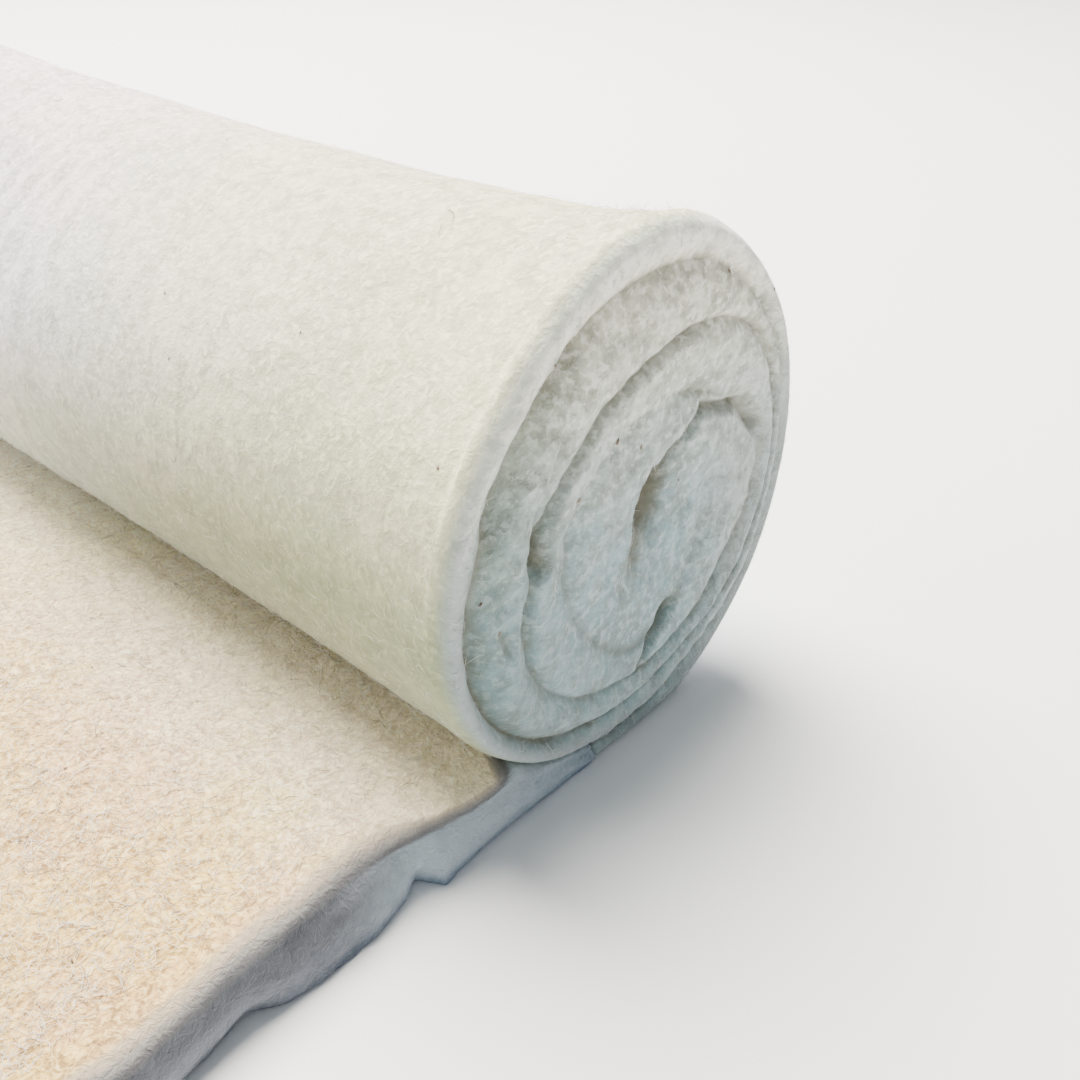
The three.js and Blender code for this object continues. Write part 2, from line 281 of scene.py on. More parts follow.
def end_surface(windings, across, outward):
    """The points of an end's surface, and how deep each lies. Outward is 1 or -1."""
    angle, outer, inner = layer_at(windings)
    size = size_at(np.array(0.0 if outward > 0 else -ROLL_LENGTH))
    y, z = section_point(angle, outer + (inner - outer) * across, size)
    place = np.stack([np.full_like(y, 3.0 * outward), y, z], -1)
    uneven = np.clip(0.85 + 0.9 * noise(place, 13 * MM, 14), 0.3, 1.35)
    out = relief(windings, across, uneven) * HALF_HEIGHT
    if outward > 0:
        out = out - hollow_depth(y / HALF_HEIGHT, z / HALF_HEIGHT) * HALF_HEIGHT
    inside = np.clip(across * 8 + (windings - 1) * 8, 0, 1)
    fluff = fluff_of(windings)
    to_outer = np.clip(0.5 - across, 0, 1) * (fluff_of(windings - 1) - fluff)
    to_inner = np.clip(across - 0.5, 0, 1) * (fluff_of(windings + 1) - fluff)
    fluff = inside * (fluff + to_outer + to_inner)
    out = out + fluff * (0.7 * MM * noise(place, 9 * MM, 11) + 0.34 * MM * puffs(place, 4.5 * MM, 12)
                         + 0.3 * MM * noise(place, 1.8 * MM, 13))
    x = (0 if outward > 0 else -ROLL_LENGTH) + outward * out
    return np.stack([x, y, z], -1), -out / HALF_HEIGHT


def wall_lift(points, x, angle):
    """The wall's own unevenness: long swells, matted lumps and faint creases round it."""
    lift = 0.5 * MM * noise(points, 32 * MM, 21) + 0.25 * MM * noise(points, 11 * MM, 22)
    lift += 0.12 * MM * noise(points, 4.5 * MM, 23)
    creased = np.clip((-x / HALF_HEIGHT - 1.8) / 1.4, 0, 1) * np.clip(np.sin(np.radians(angle)) + 0.1, 0, 1)
    creased = creased * np.clip(0.6 + noise(points, 26 * MM, 26), 0, 1)
    sway = x + 6.0 * MM * noise(points, 34 * MM, 25) + 9.0 * MM * np.sin(np.radians(angle - 90))
    lift += 0.6 * MM * creased * np.sin(2 * math.pi * sway / (7.5 * MM))
    return lift * np.clip(points[..., 2] / (6 * MM), 0, 1)


def wall_point(x, angle, height=0.0):
    """A point of the wall, a height above its surface."""
    size = size_at(x)
    radius = crevice_radius(angle)
    y, z = section_point(angle, radius, size)
    place = np.stack([x, y, z], -1)
    grown = radius + wall_lift(place, x, angle) + height
    y, z = section_point(angle, grown, size)
    return np.stack([x, y, z], -1)


# The loose end's form

def loose_value(key, out):
    return np.interp(out, LOOSE_PROFILE["out"], LOOSE_PROFILE[key])


def loose_lift(points):
    lift = 0.5 * MM * noise(points, 30 * MM, 31) + 0.32 * MM * noise(points, 9 * MM, 32)
    return lift + 0.12 * MM * puffs(points, 4.2 * MM, 33) + 0.22 * MM * noise(points, 1.7 * MM, 34)


def loose_top(x, out):
    """The top of the loose end at x, a share of the half height out in front of the roll."""
    y = -out * HALF_HEIGHT
    wave = np.sin(2 * math.pi * x / SWELL["wave_x"]) * np.sin(2 * math.pi * y / SWELL["wave_y"])
    z = loose_value("thick", out) * LOOSE_THICKNESS + SWELL["height"] * wave
    place = np.stack([x, y + 0 * x, 0 * x + 1.0], -1)
    return np.stack([x, y + 0 * x, z + loose_lift(place)], -1)


# Meshes

MERGE_STEP = 2e-6


def to_frame(points):
    """From the near end's foot to the frame."""
    return points + np.array([NEAR_X, MIDDLE_Y, 0.0])


def mesh_object(name, points, quads, tris, material):
    """A smooth mesh object from points, quads and triangles."""
    loops = np.concatenate([quads.ravel(), tris.ravel()])
    starts = np.concatenate([np.arange(len(quads)) * 4, 4 * len(quads) + np.arange(len(tris)) * 3])
    mesh = bpy.data.meshes.new(name)
    mesh.vertices.add(len(points))
    mesh.vertices.foreach_set("co", to_frame(points).astype(np.float32).ravel())
    mesh.loops.add(len(loops))
    mesh.loops.foreach_set("vertex_index", loops.astype(np.int32))
    mesh.polygons.add(len(starts))
    mesh.polygons.foreach_set("loop_start", starts.astype(np.int32))
    mesh.update(calc_edges=True)
    mesh.polygons.foreach_set("use_smooth", np.ones(len(mesh.polygons), bool))
    mesh.materials.append(material)
    obj = bpy.data.objects.new(name, mesh)
    bpy.context.scene.collection.objects.link(obj)
    return obj


def merged_object(name, points, quads, material, **attributes):
    """A mesh object from points and quads, with points that lie together merged."""
    keys = np.round(to_frame(points) / MERGE_STEP).astype(np.int64)
    _, first, inverse = np.unique(keys, axis=0, return_index=True, return_inverse=True)
    points = points[first]
    quads = inverse.reshape(-1)[quads]
    same = quads == np.roll(quads, -1, axis=1)
    whole = quads[~same.any(axis=1)]
    cut = same.sum(axis=1) == 1
    tris = quads[cut][~same[cut]].reshape(-1, 3)
    tris = tris[(tris[:, 0] != tris[:, 1]) & (tris[:, 1] != tris[:, 2]) & (tris[:, 2] != tris[:, 0])]
    obj = mesh_object(name, points, whole, tris, material)
    obj.data.validate()
    for key, values in attributes.items():
        layer = obj.data.attributes.new(key, "FLOAT", "POINT")
        layer.data.foreach_set("value", values[first].astype(np.float32))
    return obj


def numbered(points, start=0):
    """A grid's point numbers, in the order in which its points are stored."""
    return start + np.arange(points.shape[0] * points.shape[1]).reshape(points.shape[:2])


def grid_quads(table, wrap=False):
    """Quads between the rows of a table of point numbers."""
    if wrap:
        table = np.concatenate([table, table[:, :1]], axis=1)
    return np.stack([table[:-1, :-1], table[1:, :-1], table[1:, 1:], table[:-1, 1:]], -1).reshape(-1, 4)


STEPS_PER_TURN = 240
STEPS_ACROSS = 16
OPEN_DEPTH = 0.022
WALL_STATIONS = np.concatenate([
    np.linspace(0.05, 0.4, 12), np.linspace(0.4, 4.9, 125)[1:], np.linspace(4.9, 8.13, 44)[1:],
]) * -HALF_HEIGHT


def crevice_line(windings, across):
    """How near a point of an end is to an open crevice, from 0 to 1: where its painted shade lies."""
    angle, outer, inner = layer_at(windings)
    open_outer = np.clip(crevice_depth(angle) / OPEN_DEPTH, 0, 1) * (windings > 1)
    open_inner = np.clip(crevice_depth(angle + 360) / OPEN_DEPTH, 0, 1)
    away = across * (outer - inner)
    # In the second turn a soft band of painted shade lies in the valley beside the lip
    valley = 0.45 * (windings < 2) * np.exp(-(away / (2.6 * MM)) ** 2)
    near_outer = np.maximum(np.exp(-(away / (0.5 * MM)) ** 2), valley)
    near_inner = np.exp(-((1 - across) * (outer - inner) / (0.8 * MM)) ** 2)
    return np.maximum(near_outer * open_outer, near_inner * open_inner)


def end_table(points_so_far, outward):
    """One end: its points, quads and outer ring, and the shares that its look needs."""
    turns = len(TURNS)
    windings = np.arange(STEPS_PER_TURN * (turns + 1) + 1) / STEPS_PER_TURN
    across = np.arange(STEPS_ACROSS) / STEPS_ACROSS
    grid_w, grid_a = np.meshgrid(windings, across, indexing="ij")
    points, depth = end_surface(grid_w, grid_a, outward)
    numbers = numbered(points, points_so_far)
    inner = np.roll(numbers[:, 0], -STEPS_PER_TURN)
    table = np.concatenate([numbers, inner[:, None]], axis=1)[:STEPS_PER_TURN * turns + 1]
    quads = grid_quads(table)
    if outward < 0:
        quads = quads[:, ::-1]
    ring = np.concatenate([numbers[:STEPS_PER_TURN + 1, 0], numbers[0, 1:][::-1]])
    lip = np.clip((0.95 - grid_a - np.maximum(grid_w - 1, 0) * 4) / 0.45, 0, 1)
    cut = np.clip((grid_a - 0.04) / 0.2 + np.maximum(grid_w - 0.97, 0) * 30, 0, 1)
    # Painted shade along open crevices and in the sharp hollows of the near end
    crevice_shade = crevice_line(grid_w, grid_a)
    if outward > 0:
        y, z = points[..., 1] / HALF_HEIGHT, points[..., 2] / HALF_HEIGHT
        crevice_shade = np.maximum(crevice_shade, np.clip((hollow_depth(y, z, 0.8) - 0.006) / 0.035, 0, 1))
    looks = {"depth": depth.ravel(), "lip": lip.ravel(), "cut": cut.ravel(), "crevice_shade": crevice_shade.ravel()}
    return points.reshape(-1, 3), quads, ring, looks


def build_roll(material):
    near_points, near_quads, near_ring, near_looks = end_table(0, 1)
    angle = START_ANGLE + 360 * np.arange(STEPS_PER_TURN + 1) / STEPS_PER_TURN
    grid_x, grid_angle = np.meshgrid(WALL_STATIONS, angle, indexing="ij")
    wall = wall_point(grid_x, grid_angle)
    # The step where the outer turn starts, next to the loose end
    across = np.arange(STEPS_ACROSS - 1, 0, -1) / STEPS_ACROSS
    _, outer, inner = layer_at(np.array(0.0))
    step_x, step_r = np.meshgrid(WALL_STATIONS, outer + (inner - outer) * across, indexing="ij")
    step_y, step_z = section_point(np.array(START_ANGLE), step_r, size_at(step_x))
    wall = np.concatenate([wall, np.stack([step_x, step_y, step_z], -1)], axis=1)
    wall_numbers = numbered(wall, len(near_points))
    far_points, far_quads, far_ring, far_looks = end_table(len(near_points) + wall_numbers.size, -1)
    table = np.concatenate([near_ring[None], wall_numbers, far_ring[None]])
    wall_quads = grid_quads(table, wrap=True)
    points = np.concatenate([near_points, wall.reshape(-1, 3), far_points])
    on_wall = {"depth": 0.0, "lip": 1.0, "cut": 0.0, "crevice_shade": 0.0}
    looks = {key: np.concatenate([near_looks[key], np.full(wall_numbers.size, value), far_looks[key]])
             for key, value in on_wall.items()}
    quads = np.concatenate([near_quads, wall_quads, far_quads])
    return merged_object("wound_roll", points, quads, material, **looks)


# The loose end's cut edge from the foot up: how far along from foot to top edge, how far it
# stands out of that line, and its height
EDGE_TO_TOP = np.array([0, 0.05, 0.15, 0.25, 0.36, 0.47, 0.58, 0.69, 0.8, 0.9, 1, 1, 1, 1, 1, 1])
EDGE_OUT = np.array([0, 0.008, 0.013, 0.016, 0.018, 0.02, 0.02, 0.019, 0.014, 0.006,
                     -0.006, -0.0124, -0.031, -0.06, -0.096, -0.136])
EDGE_HEIGHT = np.array([0, 0.03, 0.09, 0.17, 0.26, 0.35, 0.44, 0.53, 0.62, 0.71,
                        0.775, 0.844, 0.906, 0.955, 0.986, 0.997])
LOOSE_STATIONS = np.concatenate([
    np.linspace(0.22, 3.9, 190), np.linspace(3.9, 8.0, 90)[1:],
]) * -HALF_HEIGHT
LOOSE_OUT = np.concatenate([np.linspace(0.72, 2.84, 108), [2.86, 2.875, 2.89, 2.9, 2.906, 2.909]])
FRONT_HEIGHT = {"out": [2.80, 2.84, 2.86, 2.875, 2.89, 2.90, 2.906, 2.909],
                "share": [1.0, 0.985, 0.95, 0.90, 0.80, 0.68, 0.55, 0.42]}
TUCK_ANGLES = np.linspace(START_ANGLE + 360, CREASE_ANGLE, 14)
FLUSH = 0.034


def edge_places(out):
    """Where the near and the far cut edge stand along the roll, from the foot up."""
    top_x, foot_x = loose_value("top", out), loose_value("foot", out)
    # Beside the roll the cut edge runs level with the roll's lip, and its shoulder is sharp
    joins = np.clip((1.14 - out) / 0.16, 0, 1)
    shoulder = np.where(EDGE_OUT < 0, 1 - 0.75 * joins, 1.0) * EDGE_OUT
    near_x = (foot_x + (top_x - foot_x) * EDGE_TO_TOP + shoulder + FLUSH * joins) * HALF_HEIGHT
    return near_x, -ROLL_LENGTH - EDGE_OUT * HALF_HEIGHT


def tucked_place(angle, x, share):
    """y and z of the stretch that is tucked under the roll, at an angle round the roll."""
    radius = crevice_radius(np.array(angle)) + PIECE_GAP
    y, z = section_point(np.full(len(x), angle), radius, size_at(x))
    part = (angle - CREASE_ANGLE) / (START_ANGLE + 360 - CREASE_ANGLE)
    lean = math.tan(math.radians(START_ANGLE + 90))
    return y + part * (lean * z * (1 - share) - PIECE_GAP), z - PIECE_GAP / 2


def loose_ring(number):
    """One ring round the loose end: near edge, top, far edge, and back underneath with a
    point below each. Gives its points and how much each belongs to a cut edge."""
    tucked = number < len(TUCK_ANGLES)
    out = LOOSE_PROFILE["out"][0] if tucked else LOOSE_OUT[number - len(TUCK_ANGLES)]
    near_x, far_x = edge_places(out)
    over = np.concatenate([near_x, LOOSE_STATIONS, far_x[::-1]])
    x = np.concatenate([over, far_x[1:], LOOSE_STATIONS[::-1], near_x[:0:-1]])
    on_top = np.ones(len(LOOSE_STATIONS))
    below = (0, len(x) - len(over))
    share = np.pad(np.concatenate([EDGE_HEIGHT, on_top, EDGE_HEIGHT[::-1]]), below)
    on_edge = np.pad(np.concatenate([np.ones(len(near_x)), 0 * on_top, -np.ones(len(far_x))]), below)
    if tucked:
        y, z = tucked_place(TUCK_ANGLES[number], x, share)
    else:
        top = loose_top(x, np.full(len(x), out))
        y, z = top[:, 1], top[:, 2] * np.interp(out, FRONT_HEIGHT["out"], FRONT_HEIGHT["share"])
    place = np.stack([x, y, share * 0.05], -1)
    rough = 0.45 * MM * noise(place, 7 * MM, 41) + 0.3 * MM * noise(place, 2.6 * MM, 42)
    x = x + rough * on_edge
    cut = np.where(on_edge != 0, np.clip((EDGE_HEIGHT[-1] - share) / 0.22, 0, 1), 0.0)
    # Each edge point has one below it, no further out than the edge's foot
    last = len(near_x) - 1
    foot = len(over) - 1
    x[-last:] = np.minimum(x[last:0:-1], x[0])
    x[foot + 1:foot + 1 + last] = np.maximum(x[foot - last:foot][::-1], x[foot])
    cut[-last:] = cut[last:0:-1]
    cut[foot + 1:foot + 1 + last] = cut[foot - last:foot][::-1]
    cut = np.where(on_edge > 0, np.maximum(cut, float(tucked)), cut)
    return np.stack([x, y, z * share], -1), cut


def build_loose(material):
    rings = [loose_ring(number) for number in range(len(TUCK_ANGLES) + len(LOOSE_OUT))]
    points = np.stack([ring_points for ring_points, _ in rings])
    cut = np.stack([ring_cut for _, ring_cut in rings])
    numbers = numbered(points)
    quads = [grid_quads(numbers, wrap=True)[:, ::-1]]
    for ring, flip in ((numbers[0], False), (numbers[-1], True)):
        k = np.arange(len(ring) // 2)
        under = ring[(len(ring) - k) % len(ring)]
        after = ring[(len(ring) - k - 1) % len(ring)]
        cap = np.stack([ring[k], ring[k + 1], after, under], -1)
        quads.append(cap if flip else cap[:, ::-1])
    quads = np.concatenate(quads)
    return merged_object("loose_sheet", points.reshape(-1, 3), quads, material, cut=cut.ravel())


# Materials

class Shader:
    """A small helper that adds nodes to one material and links them."""

    def __init__(self, name):
        self.material = bpy.data.materials.new(name)
        self.material.use_nodes = True
        self.nodes = self.material.node_tree.nodes
        self.links = self.material.node_tree.links
        self.bsdf = self.nodes["Principled BSDF"]
        self.coords = self.nodes.new("ShaderNodeTexCoord").outputs["Object"]

    def add(self, kind, values, **settings):
        """A new node with its settings. Its inputs' values are plain or other nodes' outputs."""
        node = self.nodes.new(kind)
        for key, value in settings.items():
            setattr(node, key, value)
        for key, value in values.items():
            if isinstance(value, bpy.types.NodeSocket):
                self.links.new(value, node.inputs[key])
            else:
                node.inputs[key].default_value = value
        return node

    def warp(self, scale, amount):
        """Coordinates pushed about by a noise, so that what reads them runs in curls."""
        node = self.add("ShaderNodeTexNoise", {"Vector": self.coords, "Scale": scale, "Detail": 1.0})
        centre = self.add("ShaderNodeVectorMath", {0: node.outputs["Color"], 1: (0.5, 0.5, 0.5)},
                          operation="SUBTRACT")
        push = self.add("ShaderNodeVectorMath",
                        {0: centre.outputs["Vector"], 1: (amount, amount, amount), 2: self.coords},
                        operation="MULTIPLY_ADD")
        return push.outputs["Vector"]

    def noise(self, scale, detail=2.0, rough=0.5, offset=(0, 0, 0), stretch=(1, 1, 1), coords=None):
        mapping = self.add("ShaderNodeMapping",
                           {"Vector": coords or self.coords, "Location": offset, "Scale": stretch})
        node = self.add("ShaderNodeTexNoise", {"Vector": mapping.outputs["Vector"], "Scale": scale,
                                               "Detail": detail, "Roughness": rough})
        return node.outputs["Fac"]

    def math(self, operation, a, b=0.0):
        return self.add("ShaderNodeMath", {0: a, 1: b}, operation=operation).outputs["Value"]

    def times(self, a, b):
        return self.math("MULTIPLY", a, b)

    def ramp(self, value, low, high, out_low=0.0, out_high=1.0):
        node = self.add("ShaderNodeMapRange", {
            "Value": value, "From Min": low, "From Max": high, "To Min": out_low, "To Max": out_high,
        }, interpolation_type="SMOOTHSTEP")
        return node.outputs["Result"]

    def along(self, axis, low, high):
        """From 0 to 1 between two places along an axis of the frame, in metres."""
        node = self.add("ShaderNodeSeparateXYZ", {"Vector": self.coords})
        return self.ramp(node.outputs[axis], low, high)

    def mix(self, share, a, b, blend="MIX"):
        a, b = (c if isinstance(c, bpy.types.NodeSocket) else (*c, 1.0) for c in (a, b))
        values = {"Factor": share, "A": a, "B": b}
        return self.add("ShaderNodeMix", values, data_type="RGBA", blend_type=blend).outputs["Result"]

    def tint(self, colour, by, share=1.0):
        """A colour multiplied by another, where a share says so."""
        return self.mix(share, colour, by, "MULTIPLY")

    def attribute(self, name):
        return self.add("ShaderNodeAttribute", {}, attribute_name=name).outputs["Fac"]

    def strands(self, coords, scale, width, stretch):
        """Thin curved lines like single fibres: where a twisted noise crosses its middle."""
        value = self.noise(scale, 0.0, 0.5, (0.31, 0.12, 0.57), stretch, coords)
        away = self.math("ABSOLUTE", self.math("SUBTRACT", value, 0.5))
        return self.ramp(away, 0.0, width, 1.0, 0.0)

    def bump(self, height, strength, distance):
        node = self.add("ShaderNodeBump", {"Height": height, "Strength": strength, "Distance": distance})
        self.links.new(node.outputs["Normal"], self.bsdf.inputs["Normal"])

    def finish(self, colour, roughness=0.95, sheen=0.3):
        self.links.new(colour, self.bsdf.inputs["Base Color"])
        self.bsdf.inputs["Roughness"].default_value = roughness
        self.bsdf.inputs["Specular IOR Level"].default_value = 0.15
        self.bsdf.inputs["Sheen Weight"].default_value = sheen
        self.bsdf.inputs["Sheen Roughness"].default_value = 0.6
        return self.material


def wall_colour(shader, clumps, patch, strands):
    """Matted white: cooler at the far end, creamy at the near end, darker low in front in painted shade."""
    drift = shader.noise(19.0, 2.0, 0.5)
    front = shader.along("Y", 0.095, 0.055)
    near = shader.times(front, shader.along("X", 0.0, 0.2))
    face = shader.mix(shader.ramp(drift, 0.4, 0.6), (0.765, 0.745, 0.71), (0.63, 0.665, 0.64))
    face = shader.mix(shader.ramp(patch, 0.38, 0.66, 0.0, 0.85), face, (0.49, 0.50, 0.46))
    face = shader.mix(shader.ramp(clumps, 0.45, 0.7, 0.0, 0.85), face, (0.95, 0.94, 0.90))
    face = shader.mix(shader.times(strands, 0.2), face, (0.97, 0.965, 0.94))
    top = shader.along("Z", 0.065, 0.105)
    far_tint = shader.mix(top, (1.02, 1.10, 1.40), (1.2, 1.05, 1.08))
    face = shader.tint(face, shader.mix(near, far_tint, (1.03, 0.99, 0.67)))
    # Painted shade: darker and greener low down on the front, most at the near end
    below = shader.times(front, shader.along("Z", 0.092, 0.03))
    low = shader.times(below, shader.math("ADD", near, 0.25))
    return shader.tint(face, (0.41, 0.485, 0.42), low)


def end_colour(shader, tufts, patch):
    """Fluffy layers, partly painted cool shade: creamy at the top and bluish low down in painted light,
    and brown in painted shade where they part.
    """
    # Painted light: creamy where the end stands high and bluish grey low down, in its tones, patches, tufts
    # and lip
    high = shader.along("Z", 0.045, 0.105)
    right = shader.along("Y", 0.065, 0.095)
    left = shader.along("Y", 0.04, 0.01)
    depth = shader.attribute("depth")
    end = shader.mix(right, (0.26, 0.39, 0.42), (0.45, 0.475, 0.455))
    end = shader.mix(high, end, (0.70, 0.69, 0.54))
    # Painted light: lighter where the surface stands out of the end
    raised_light = shader.ramp(depth, 0.0, -0.035, 0.0, 0.6)
    end = shader.mix(raised_light, end, shader.mix(high, (0.37, 0.495, 0.52), (0.88, 0.86, 0.72)))
    gaps = shader.mix(high, (0.225, 0.26, 0.235), (0.27, 0.27, 0.205))
    end = shader.mix(shader.ramp(patch, 0.38, 0.66, 0.0, 0.68), end, gaps)
    light = shader.mix(high, (0.46, 0.565, 0.575), (1.0, 0.98, 0.88))
    end = shader.mix(shader.ramp(tufts, 0.48, 0.64, 0.0, 0.72), end, light)
    end = shader.tint(end, shader.ramp(tufts, 0.45, 0.3, 1.0, 0.8))
    end = shader.tint(end, (0.63, 0.70, 0.68), left)
    # Painted shade: dark olive brown where the surface lies deep
    end = shader.mix(shader.ramp(depth, 0.018, 0.09, 0.0, 0.65), end, (0.165, 0.15, 0.10))
    # Painted shade along crevices and hollows, weaker to the right
    crevice_shade = shader.times(shader.attribute("crevice_shade"), shader.ramp(right, 0.0, 1.0, 0.7, 0.4))
    end = shader.mix(crevice_shade, end, (0.15, 0.13, 0.08))
    # The lip: lighter, creamy at the top and bluish grey low down in painted light
    lip = shader.mix(high, (0.33, 0.385, 0.39), (1.0, 0.99, 0.86))
    lip = shader.mix(shader.ramp(patch, 0.4, 0.66, 0.0, 0.4), lip, (0.28, 0.31, 0.29))
    return shader.mix(shader.times(shader.attribute("lip"), 0.92), end, lip)


def roll_material():
    shader = Shader("batting_outer_face")
    coords = shader.warp(380.0, 0.003)
    clumps = shader.noise(620.0, 3.0, 0.62, coords=coords)
    tufts = shader.noise(520.0, 3.0, 0.6, (0.7, 0.3, 0.2))
    patch = shader.noise(190.0, 3.0, 0.65, (0.4, 0.1, 0.8))
    wall = wall_colour(shader, clumps, patch, shader.strands(coords, 260.0, 0.02, (1.0, 0.5, 0.8)))
    end = end_colour(shader, tufts, patch)
    # A cool strip of painted shade lies where the end's edge turns over onto the wall
    cut = shader.attribute("cut")
    rim_shade = shader.times(shader.times(cut, 4.0), shader.math("SUBTRACT", 1.0, cut))
    colour = shader.tint(shader.mix(cut, wall, end), (0.88, 0.93, 0.99), rim_shade)
    shader.bump(shader.math("ADD", clumps, tufts), 0.45, 0.0008)
    return shader.finish(colour)


def top_colour(shader, clumps, patch, drift, strands):
    """Nappy beige with brown and cream tufts, paler in painted light in the roll's shade and far off."""
    face = shader.mix(shader.ramp(drift, 0.4, 0.6), (0.74, 0.47, 0.26), (0.77, 0.53, 0.19))
    face = shader.mix(shader.ramp(patch, 0.42, 0.62, 0.0, 0.62), face, (0.31, 0.18, 0.09))
    face = shader.mix(shader.ramp(clumps, 0.47, 0.36, 0.0, 0.8), face, (0.30, 0.18, 0.09))
    face = shader.mix(shader.ramp(clumps, 0.49, 0.66, 0.0, 0.85), face, (0.98, 0.74, 0.43))
    face = shader.mix(shader.times(strands, 0.5), face, (1.0, 0.86, 0.60))
    shade = shader.along("Y", -0.045, 0.01)
    face = shader.mix(shader.times(shade, 0.6), face, (0.64, 0.44, 0.235))
    face = shader.tint(face, (1.38, 1.78, 2.45), shade)
    in_front = shader.along("Y", -0.02, -0.05)
    by_edge = shader.times(in_front, shader.along("X", 0.13, 0.21))
    face = shader.tint(face, shader.mix(by_edge, (1.0, 0.98, 0.88), (1.03, 0.99, 0.73)))
    # Painted light: paler and bluer further back along the roll, in the roll's shade
    return shader.tint(face, (1.17, 1.23, 1.38), shader.along("X", 0.12, 0.04))


def edge_colour(shader, patch, drift):
    """The cut edge's bluish grey, partly painted cool shade: paler by the roll in painted light,
    darker in its upper band and at its foot in painted shade.
    """
    # Painted light: paler by the roll, in the shade under it
    by_roll = shader.along("Y", -0.03, -0.002)
    edge_low = shader.mix(by_roll, (0.145, 0.16, 0.19), (0.36, 0.44, 0.50))
    edge_high = shader.mix(by_roll, (0.21, 0.23, 0.27), (0.48, 0.56, 0.61))
    edge = shader.mix(shader.ramp(drift, 0.4, 0.6, 0.0, 0.8), edge_low, edge_high)
    edge = shader.mix(shader.ramp(patch, 0.35, 0.65, 0.0, 0.5), edge, edge_high)
    # Painted shade: darker in the upper band under the shoulder, less so by the roll
    band = shader.along("Z", 0.0045, 0.0095)
    band = shader.times(band, shader.ramp(by_roll, 0.0, 1.0, 1.0, 0.3))
    edge = shader.tint(edge, (0.56, 0.54, 0.53), band)
    # Painted shade: darker and bluer at the foot
    return shader.tint(edge, (0.40, 0.46, 0.58), shader.along("Z", 0.003, 0.0))


def loose_material():
    shader = Shader("batting_inner_face")
    coords = shader.warp(420.0, 0.003)
    clumps = shader.noise(900.0, 3.0, 0.65, coords=coords)
    patch = shader.noise(400.0, 3.0, 0.65, (0.2, 0.7, 0.1))
    drift = shader.noise(34.0, 2.0, 0.5)
    strands = shader.strands(coords, 420.0, 0.03, (0.6, 1.0, 1.0))
    # From the top over the shoulder to the cut edge, darkening in painted shade as it turns down
    cut = shader.attribute("cut")
    colour = top_colour(shader, clumps, patch, drift, strands)
    colour = shader.mix(shader.ramp(cut, 0.0, 0.14, 0.0, 0.8), colour, (0.50, 0.41, 0.30))
    colour = shader.mix(shader.ramp(cut, 0.05, 0.36), colour, (0.28, 0.255, 0.225))
    colour = shader.mix(shader.ramp(cut, 0.25, 0.65), colour, (0.135, 0.135, 0.14))
    colour = shader.mix(shader.ramp(cut, 0.7, 1.0), colour, edge_colour(shader, patch, drift))
    shader.bump(clumps, 0.8, 0.0009)
    return shader.finish(colour)


def fibre_material(name, colour, other):
    """Single fibres: one plain soft tone that drifts from strand to strand."""
    shader = Shader(name)
    tone = shader.noise(240.0, 1.0, 0.5)
    return shader.finish(shader.mix(shader.ramp(tone, 0.35, 0.65), colour, other), 0.8, 0.2)


# Single fibres, joined into a few pieces

FIBRE_POINTS = 5
FIBRE_SIDES = 3


def fibre_object(name, paths, radii, material):
    """Closed tubes along paths, one per row, that thin out towards both tips."""
    count = len(paths)
    along = np.gradient(paths, axis=1)
    along /= np.maximum(np.linalg.norm(along, axis=2, keepdims=True), 1e-12)
    helper = np.where(np.abs(along[:, :1, 2:]) > 0.8, np.array([1.0, 0.0, 0.0]), np.array([0.0, 0.0, 1.0]))
    side = np.cross(along, np.broadcast_to(helper, along.shape))
    side /= np.maximum(np.linalg.norm(side, axis=2, keepdims=True), 1e-12)
    other = np.cross(along, side)
    taper = np.array([0.45, 0.9, 1.0, 0.85, 0.4])
    turn = 2 * math.pi * np.arange(FIBRE_SIDES) / FIBRE_SIDES
    width = radii[:, None, None, None] * taper[None, :, None, None]
    ring = np.cos(turn)[:, None] * side[:, :, None] + np.sin(turn)[:, None] * other[:, :, None]
    points = (paths[:, :, None] + width * ring).reshape(-1, 3)
    numbers = np.arange(count * FIBRE_POINTS * FIBRE_SIDES).reshape(count, FIBRE_POINTS, FIBRE_SIDES)
    after = np.roll(numbers, -1, axis=2)
    quads = np.stack([numbers[:, :-1], after[:, :-1], after[:, 1:], numbers[:, 1:]], -1).reshape(-1, 4)
    tris = np.concatenate([numbers[:, 0, ::-1], numbers[:, -1]])
    return mesh_object(name, points, quads, tris, material)


def wander(rng, count, length, curl):
    """Steps of crooked paths on a surface: two offsets for each point from the root."""
    heading = rng.uniform(0, 2 * math.pi, count)
    bend = rng.normal(0, curl, count)
    twist = rng.normal(0, curl * 0.6, (count, FIBRE_POINTS - 1)).cumsum(axis=1)
    place = np.arange(FIBRE_POINTS - 1)[None]
    direction = heading[:, None] + bend[:, None] * place + twist
    step = (length / (FIBRE_POINTS - 1))[:, None]
    first = np.concatenate([np.zeros((count, 1)), (step * np.cos(direction)).cumsum(axis=1)], axis=1)
    second = np.concatenate([np.zeros((count, 1)), (step * np.sin(direction)).cumsum(axis=1)], axis=1)
    return first, second


def lifts(rng, count, height, standing):
    """Heights along the fibres: most arch low over the surface, some stand up at one end."""
    place = np.linspace(0, 1, FIBRE_POINTS)[None]
    arch = rng.uniform(0.2, 1.0, count)[:, None] * np.sin(math.pi * place)
    stands = (rng.uniform(0, 1, count) < standing)[:, None]
    rise = rng.uniform(0.6, 1.6, count)[:, None] * place ** 1.3
    return height * np.where(stands, rise, arch) - 0.04 * MM


